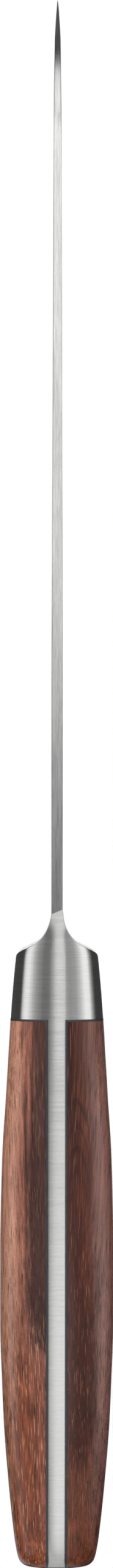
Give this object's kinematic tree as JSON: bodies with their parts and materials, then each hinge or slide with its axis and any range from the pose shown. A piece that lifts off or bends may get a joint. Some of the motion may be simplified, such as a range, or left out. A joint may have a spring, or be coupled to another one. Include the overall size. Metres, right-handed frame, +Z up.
{
  "type": "santoku knife",
  "caption": "Forged full-tang santoku kitchen knife with a swept bolster, black-lined dark wood scales and flush rivets, for slicing, dicing and mincing.",
  "frame": {"origin": "bottom centre of the bounding box: the table plane under the middle of the knife's length and blade height, as the knife lies on its right flank", "axes": "+X from the butt to the tip, +Y from the spine to the cutting edge, +Z up from the right flank to the left flank; the blade's mid-plane is level at z = 10.61 mm"},
  "size_m": [0.3, 0.046, 0.0212],
  "materials": {
    "blade_steel": "fine satin, brushed along the spine and across the bolster and tang",
    "scale_wood": "oiled reddish-brown open-pored hardwood",
    "liner_fibre": "black vulcanised fibre, sanded flush",
    "rivet_steel": "stainless, ground flush with the wood"
  },
  "bodies": {
    "root": {"blade_forging": "blade_steel", "scale_left": "scale_wood", "scale_right": "scale_wood", "liner_left": "liner_fibre", "liner_right": "liner_fibre", "rivet_front_female": "rivet_steel", "rivet_front_male": "rivet_steel", "rivet_middle_female": "rivet_steel", "rivet_middle_male": "rivet_steel", "rivet_rear_female": "rivet_steel", "rivet_rear_male": "rivet_steel"}
  },
  "joints": []
}
